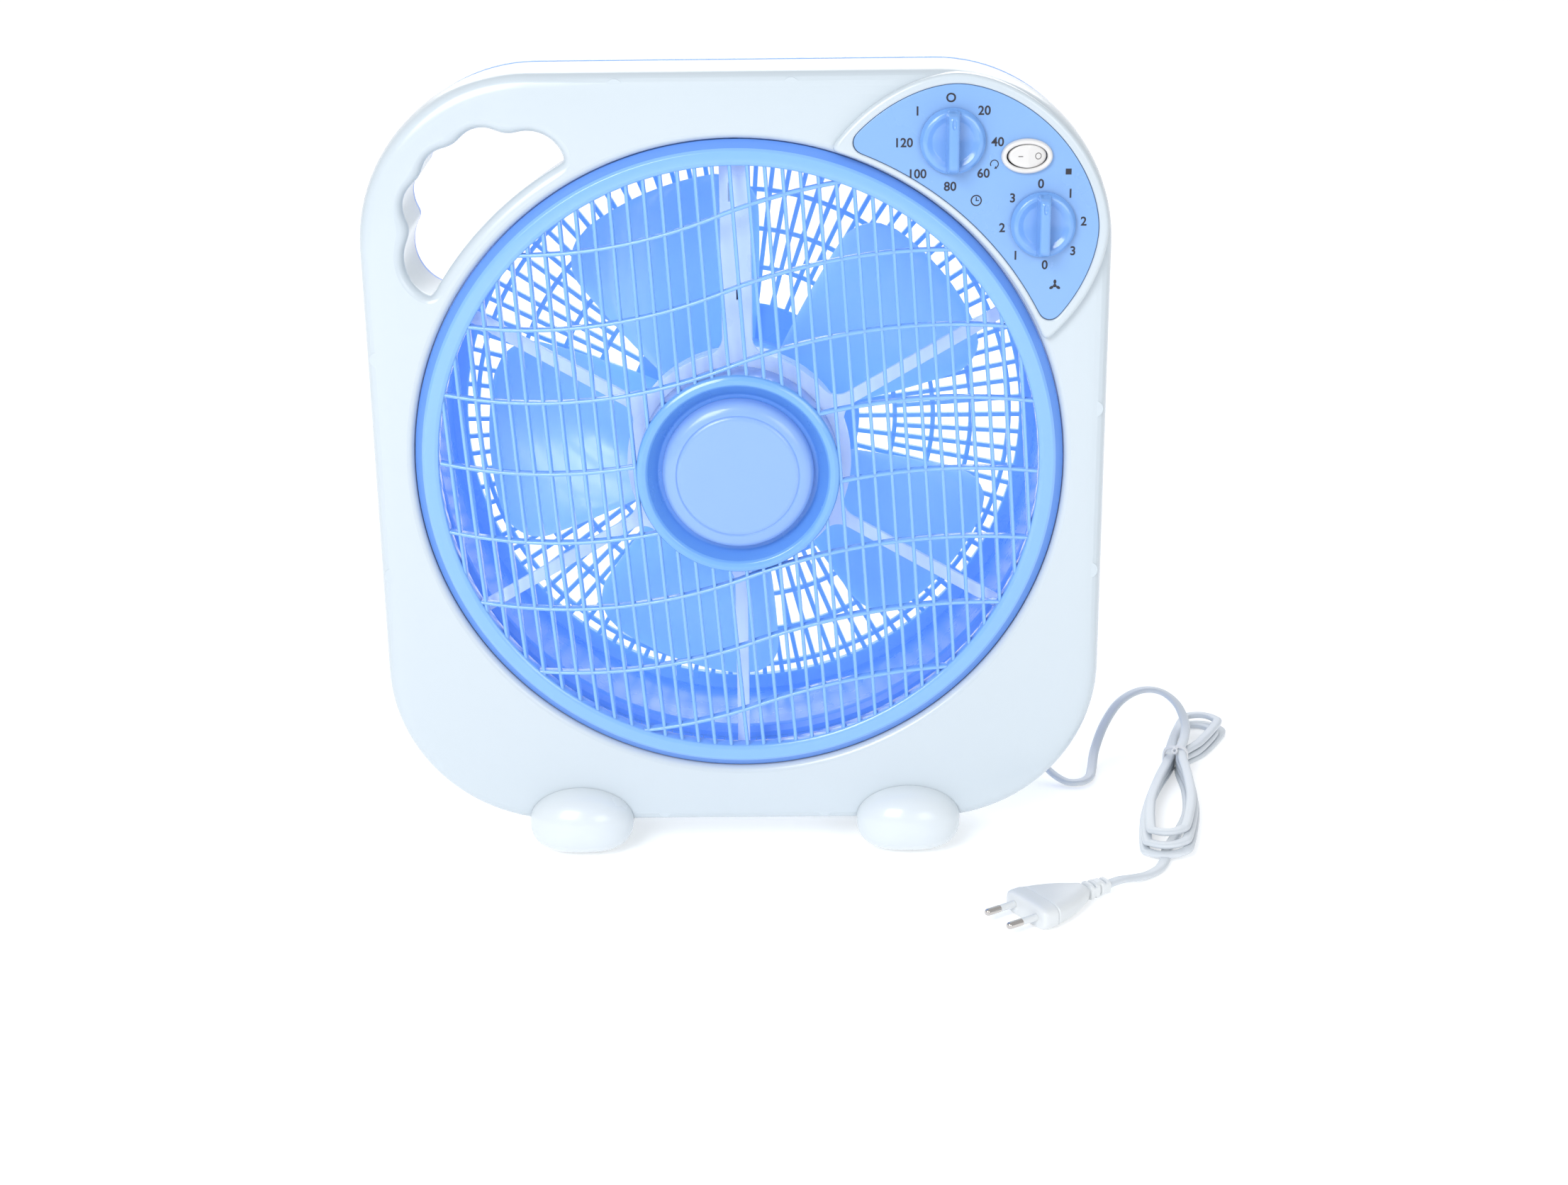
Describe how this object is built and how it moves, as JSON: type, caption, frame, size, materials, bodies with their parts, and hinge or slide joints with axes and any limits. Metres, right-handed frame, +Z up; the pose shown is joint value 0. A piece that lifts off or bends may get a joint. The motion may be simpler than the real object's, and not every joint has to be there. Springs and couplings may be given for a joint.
{
  "type": "box fan",
  "caption": "Box fan on two bar feet: rounded-square shell with finger-grip handle, turning vane grille, paddle blade, timer and speed knobs, folded flat mains lead.",
  "frame": {"origin": "on the floor under the middle of the fan without its mains lead", "axes": "the front faces -Y, +X is to the right seen from the front, +Z is up; the fan's axis runs along Y at z = 0.225"},
  "size_m": [0.4975, 0.2933, 0.434],
  "materials": {
    "front_housing": "smooth satin white",
    "rear_housing": "smooth blue",
    "air_duct": "smooth blue",
    "rear_grille": "smooth blue",
    "motor_spider": "smooth pale lilac",
    "carrier_ring": "smooth pale lilac",
    "wire_duct_cover": "smooth pale lilac",
    "fan_blade": "glossy light blue",
    "blade_nut": "white",
    "motor_shaft": "ground steel",
    "motor_rotor": "laminated steel",
    "motor_bearings": "sintered bronze",
    "motor_front_bell": "die cast",
    "motor_rear_bell": "die cast",
    "stator_core": "laminated steel",
    "stator_windings": "enamelled copper wire",
    "motor_screws": "zinc plated",
    "rotor_grille": "glossy pale blue",
    "grille_cap": "glossy pale blue",
    "grille_clip": "spring steel",
    "drive_shaft": "ground steel",
    "grille_motor": "zinc plated can",
    "control_panel": "glossy blue",
    "timer_knob": "glossy light blue",
    "timer_shaft": "ground steel",
    "timer_body": "off-white",
    "speed_knob": "glossy light blue",
    "speed_shaft": "ground steel",
    "speed_switch": "brown",
    "rocker_bezel": "warm white",
    "rocker": "warm white",
    "rocker_switch": "black",
    "run_capacitor": "black",
    "terminal_block": "ivory",
    "wiring": "sleeved wires",
    "left_foot": "bright white",
    "right_foot": "bright white",
    "foot_pads": "grey rubber",
    "housing_screws": "zinc plated",
    "panel_screws": "zinc plated",
    "cord_gland": "soft white",
    "power_cord": "soft bluish white",
    "plug_lead": "soft bluish white",
    "cord_hank": "soft bluish white",
    "cord_tie": "white wire tie",
    "plug_body": "soft bluish white",
    "plug_pins": "nickel plated"
  },
  "bodies": {
    "stand": {"front_housing": "front_housing", "rear_housing": "rear_housing", "air_duct": "air_duct", "rear_grille": "rear_grille", "motor_spider": "motor_spider", "carrier_ring": "carrier_ring", "wire_duct_cover": "wire_duct_cover", "motor_bearings": "motor_bearings", "motor_front_bell": "motor_front_bell", "motor_rear_bell": "motor_rear_bell", "stator_core": "stator_core", "stator_windings": "stator_windings", "motor_screws": "motor_screws", "grille_motor": "grille_motor", "control_panel": "control_panel", "timer_body": "timer_body", "speed_switch": "speed_switch", "rocker_bezel": "rocker_bezel", "rocker_switch": "rocker_switch", "run_capacitor": "run_capacitor", "terminal_block": "terminal_block", "wiring": "wiring", "left_foot": "left_foot", "right_foot": "right_foot", "foot_pads": "foot_pads", "housing_screws": "housing_screws", "panel_screws": "panel_screws", "cord_gland": "cord_gland", "power_cord": "power_cord", "plug_lead": "plug_lead", "cord_hank": "cord_hank", "cord_tie": "cord_tie", "plug_body": "plug_body", "plug_pins": "plug_pins"},
    "blade": {"fan_blade": "fan_blade", "blade_nut": "blade_nut", "motor_shaft": "motor_shaft", "motor_rotor": "motor_rotor"},
    "grille": {"rotor_grille": "rotor_grille", "grille_cap": "grille_cap", "grille_clip": "grille_clip", "drive_shaft": "drive_shaft"},
    "timer": {"timer_knob": "timer_knob", "timer_shaft": "timer_shaft"},
    "speed": {"speed_knob": "speed_knob", "speed_shaft": "speed_shaft"},
    "rocker_key": {"rocker": "rocker"}
  },
  "joints": [
    {"name": "blade_spin", "type": "hinge", "parent": "stand", "child": "blade", "pos_m": [0, 0.02, 0.225], "axis": [0, 1, 0], "continuous": true},
    {"name": "grille_spin", "type": "hinge", "parent": "stand", "child": "grille", "pos_m": [0, -0.05, 0.225], "axis": [0, 1, 0], "continuous": true},
    {"name": "timer_turn", "type": "hinge", "parent": "stand", "child": "timer", "pos_m": [0.112, -0.0575, 0.3975], "axis": [0, 1, 0], "range_deg": [-45, 270]},
    {"name": "speed_turn", "type": "hinge", "parent": "stand", "child": "speed", "pos_m": [0.159, -0.0575, 0.3545], "axis": [0, 1, 0], "continuous": true},
    {"name": "rocker_tilt", "type": "hinge", "parent": "stand", "child": "rocker_key", "pos_m": [0.15, -0.0495, 0.3895], "axis": [0, 0, 1], "range_deg": [-16, 0]}
  ]
}
